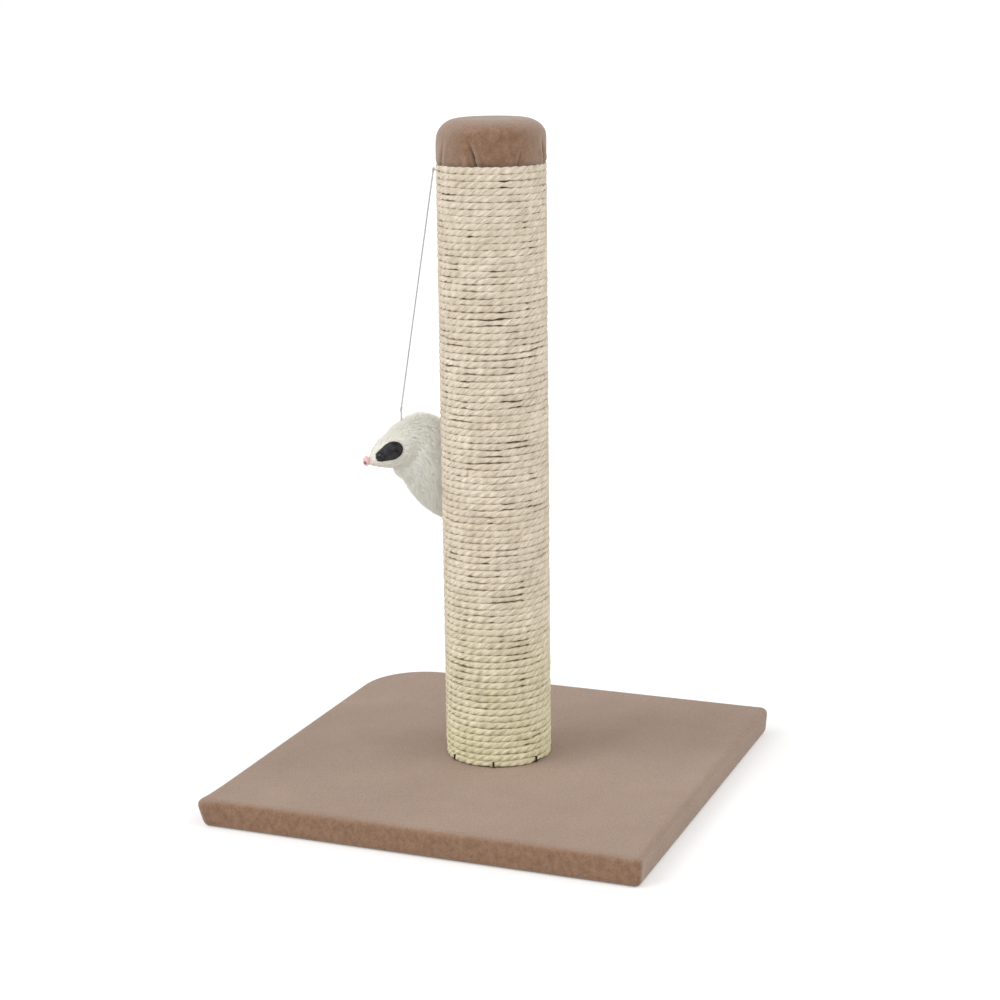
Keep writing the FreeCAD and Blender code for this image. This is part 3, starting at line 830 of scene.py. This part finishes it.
ear_back, ear_lift = 18.8 * MM, math.radians(21)
ear_r, ear_tip_r, ear_tip_run, ear_thick = 7.0 * MM, 4.5 * MM, 7.0 * MM, 1.2 * MM
eye_back, eye_lift, eye_r = 11.0 * MM, math.radians(14), 2.9 * MM
nose_r = 2.5 * MM
fur_locks = 24000
fur_pieces = 3
lock_wide = 0.36 * MM


def ear_outline():
    """Teardrop that the ear is cut to: a large round, a small one ahead of it and their tangents."""
    lean = math.acos((ear_r - ear_tip_r) / ear_tip_run)
    large = np.linspace(-np.pi + lean, np.pi - lean, 26)
    small = np.linspace(np.pi - lean, np.pi + lean, 14)
    x = np.concatenate([ear_r * np.cos(large), ear_tip_r * np.cos(small) - ear_tip_run])
    y = np.concatenate([ear_r * np.sin(large), ear_tip_r * np.sin(small)])
    return np.column_stack([x, y])


def under_ear(own):
    """Which places in the toy's frame lie under either ear."""
    away = own - np.array(nose_tip)
    back = away @ np.array(head_back)
    height = away @ np.array((math.sin(head_dip), 0, math.cos(head_dip)))
    lift = np.arctan2(height, np.abs(away[:, 1]))
    x = back - ear_back
    y = (lift - ear_lift) * np.array([head_half_width(max(b, 0)) for b in back])
    reach = np.clip(-x / ear_tip_run, 0, 1)
    from_line = np.hypot(x + reach * ear_tip_run, y)
    return from_line < ear_r + (ear_tip_r - ear_r) * reach - 0.2 * MM


def grow_fur(skin):
    """Pile combed from the nose to the rump and falling a little, cleared under the ears.

    Real hairs are too fine to show, so each drawn one stands for a lock 0.36 mm wide.
    """
    data = skin.data
    data.calc_loop_triangles()
    corners = np.empty(len(data.loop_triangles) * 3, dtype=int)
    data.loop_triangles.foreach_get("vertices", corners)
    corners = corners.reshape(-1, 3)
    places = np.empty(len(data.vertices) * 3)
    data.vertices.foreach_get("co", places)
    places = places.reshape(-1, 3)
    ways = np.empty(len(data.vertices) * 3)
    data.vertices.foreach_get("normal", ways)
    ways = ways.reshape(-1, 3)
    a, b, c = (places[corners[:, n]] for n in range(3))
    size = np.linalg.norm(np.cross(b - a, c - a), axis=-1)
    chosen = dice.choice(len(corners), fur_locks, p=size / size.sum())
    mix = dice.dirichlet((1, 1, 1), fur_locks)
    root = np.einsum("nk,nkd->nd", mix, places[corners[chosen]])
    normal = unit(np.einsum("nk,nkd->nd", mix, ways[corners[chosen]]))
    own = in_toy(root)
    behind = (own - np.array(nose_tip)) @ np.array(head_back)
    clear = ~under_ear(own) & (behind > 1.0 * MM)
    root, normal, behind = root[clear], normal[clear], behind[clear]
    on_body = rise(behind, 18 * MM, 52 * MM)
    comb = np.array(head_back) * (1 - on_body[:, None]) - np.array(body_line) * on_body[:, None]
    comb = comb @ np.array(toy_turn).T + np.array((0, 0, -0.35))
    comb += 0.14 * dice.normal(size=comb.shape)
    comb -= normal * np.sum(comb * normal, axis=-1, keepdims=True)
    comb = unit(comb)
    depth = np.array([pile_height(b) for b in behind])
    length = depth * dice.uniform(1.5, 2.2, len(depth))
    part = np.array([0, 0.3, 0.65, 1.0])
    stand = depth[:, None] * dice.uniform(0.75, 1.12, (len(depth), 1)) * (1 - (1 - part) ** 1.8)
    along = length[:, None] * part ** 1.25
    lines = root[:, None] + normal[:, None] * (stand - 0.3 * MM)[..., None] + comb[:, None] * along[..., None]
    lines[:, 1:] += 0.12 * MM * dice.normal(size=lines[:, 1:].shape)
    flat = lines[..., :2]
    reach = np.linalg.norm(flat, axis=-1, keepdims=True)
    flat *= np.maximum(reach, winding_r + 0.35 * MM) / reach
    rings = flat_hairs(lines, normal, lock_wide * np.array([1.0, 0.95, 0.7, 0.15]), 0.05 * MM)
    for n, share in enumerate(np.array_split(rings, fur_pieces)):
        piece = lofted(f"mouse_fur_{n + 1}", share, fur)
        piece.data.polygons.foreach_set("use_smooth", [False] * len(piece.data.polygons))
        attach(piece, "mouse")


skin = mouse_skin()
grow_fur(skin)
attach(skin, "mouse")
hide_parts("mouse_pelt")


def ear(name, side):
    """Teardrop of felt laid on the head, cupped a little, its tip round the eye."""
    outline = ear_outline()
    if side < 0:
        outline = outline[::-1]
    middle = np.array((-0.25 * ear_tip_run, 0))
    rings = []
    for share, depth in ((0.02, 1), (0.5, 1), (0.9, 1), (0.98, 0.75), (1.0, 0.5), (0.97, 0.2), (0.88, 0.0),
                         (0.7, 0.0), (0.5, 0.0), (0.3, 0.0), (0.02, 0.0)):
        ring = []
        for x, y in middle + share * (outline - middle):
            back = ear_back + x
            lift = ear_lift + y / head_half_width(back)
            ring.append(on_head(back, lift, -0.3 * MM - depth * ear_thick, side)[0][:])
        rings.append(ring)
    return lofted(name, to_toy(rings)[None], black_felt)


def bead(name, middle, out, radius, material, flat):
    """A round bead, flattened or drawn out along its way out."""
    x = out.orthogonal().normalized()
    lay = np.array([x, out.cross(x), out])
    turn = np.linspace(0, 2 * np.pi, 28, endpoint=False)
    rings = []
    for a in np.radians(np.linspace(-80, 89, 18)):
        r = radius * math.cos(a)
        rings.append(np.stack([r * np.cos(turn), r * np.sin(turn),
                               np.full_like(turn, radius * flat * math.sin(a))], axis=-1))
    rings = np.array(rings) @ lay + np.array(middle)
    return lofted(name, to_toy(rings)[None], material)


def make_face():
    for side, name in ((1, "left"), (-1, "right")):
        felt = ear(f"ear_{name}", side)
        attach(felt, "mouse")
        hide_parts("mouse_ears")
        middle, out = on_head(eye_back, eye_lift, -1.1 * MM, side)
        eye = bead(f"eye_{name}", middle, out, eye_r, black_bead, 0.6)
        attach(eye, "mouse")
        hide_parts("mouse_eyes")
    nose_middle = nose_tip + Vector((-2.1, 0, 2.2)) * MM
    nose = bead("nose_tip", nose_middle, Vector((0, 0, 1)), nose_r, pink_flock, 1.4)
    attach(nose, "mouse")
    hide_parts("mouse_nose")


make_face()


def make_tail():
    """Felt strip, die-cut, sewn in at the rump and hanging in a slow curve."""
    bend_r, wide, thick, root = 70 * MM, 4.5 * MM, 1.2 * MM, 5 * MM
    sweep = 57 * MM / bend_r
    start = -body_line * (body_half - root)
    rings = []
    for share in np.linspace(0, 1, 40):
        a = sweep * share
        middle = np.array(start) + np.array([(bend_r + thick / 2) * math.cos(a) - bend_r, 0,
                                             -(bend_r + thick / 2) * math.sin(a)])
        out = np.array([math.cos(a), 0, -math.sin(a)])
        w = wide / 2 * (1 - 0.25 * share) * (1 if share < 0.97 else 0.8)
        corner = [(w, thick * 0.3), (w * 0.9, thick / 2), (-w * 0.9, thick / 2), (-w, thick * 0.3),
                  (-w, -thick * 0.3), (-w * 0.9, -thick / 2), (w * 0.9, -thick / 2), (w, -thick * 0.3)]
        rings.append([middle + np.array([0, 1, 0]) * x + out * y for x, y in corner])
    tail = lofted("tail_strip", to_toy(np.array(rings)[:, ::-1])[None], tail_felt)
    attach(tail, "mouse")
    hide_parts("mouse_tail")


make_tail()


# ---------------------------------------------------------------- floor and light

def make_stage():
    """A plain white floor that keeps the part's shadow, and soft studio light from both sides."""
    data = bpy.data.meshes.new("floor")
    half = 40.0
    corners = [(-half, -half, 0), (half, -half, 0), (half, half, 0), (-half, half, 0)]
    data.from_pydata(corners, [], [(0, 1, 2, 3)])
    floor = show("floor", data)
    material = bpy.data.materials.new("floor_painted_white")
    material.use_nodes = True
    tree = material.node_tree
    tree.nodes.clear()
    seen = add(tree, "LightPath").outputs["Is Camera Ray"]
    paint = add(tree, "BsdfDiffuse", {"Color": hex_colour("#e6e6e6")}).outputs[0]
    lifted = add(tree, "Math", {0: seen, 1: 0.3}, operation="MULTIPLY").outputs[0]
    glow = add(tree, "Emission", {"Color": (1, 1, 1, 1), "Strength": lifted}).outputs[0]
    both = add(tree, "AddShader", {0: paint, 1: glow}).outputs[0]
    add(tree, "OutputMaterial", {"Surface": both})
    data.materials.append(material)
    world = bpy.data.worlds.new("studio")
    world.use_nodes = True
    bpy.context.scene.world = world
    tree = world.node_tree
    tree.nodes.clear()
    path = add(tree, "LightPath")
    share = add(tree, "MapRange", {0: path.outputs["Is Camera Ray"], 3: 0.6, 4: 1.0}).outputs[0]
    sky = add(tree, "Background", {"Color": (1, 1, 1, 1), "Strength": share}).outputs[0]
    add(tree, "OutputWorld", {"Surface": sky})
    lamps = (("left", 222, 38, 1.35), ("right", 5, 36, 0.75), ("front", 305, 25, 0.4))
    for name, azimuth, height, strength in lamps:
        lamp = bpy.data.lights.new(name, "SUN")
        lamp.angle = math.radians(50)
        lamp.energy = strength
        turn, lift = math.radians(azimuth), math.radians(height)
        toward = Vector((math.cos(turn) * math.cos(lift), math.sin(turn) * math.cos(lift), math.sin(lift)))
        holder = bpy.data.objects.new(name, lamp)
        holder.rotation_euler = toward.to_track_quat("Z", "Y").to_euler()
        bpy.context.collection.objects.link(holder)


make_stage()
bpy.context.scene.view_settings.view_transform = "Standard"
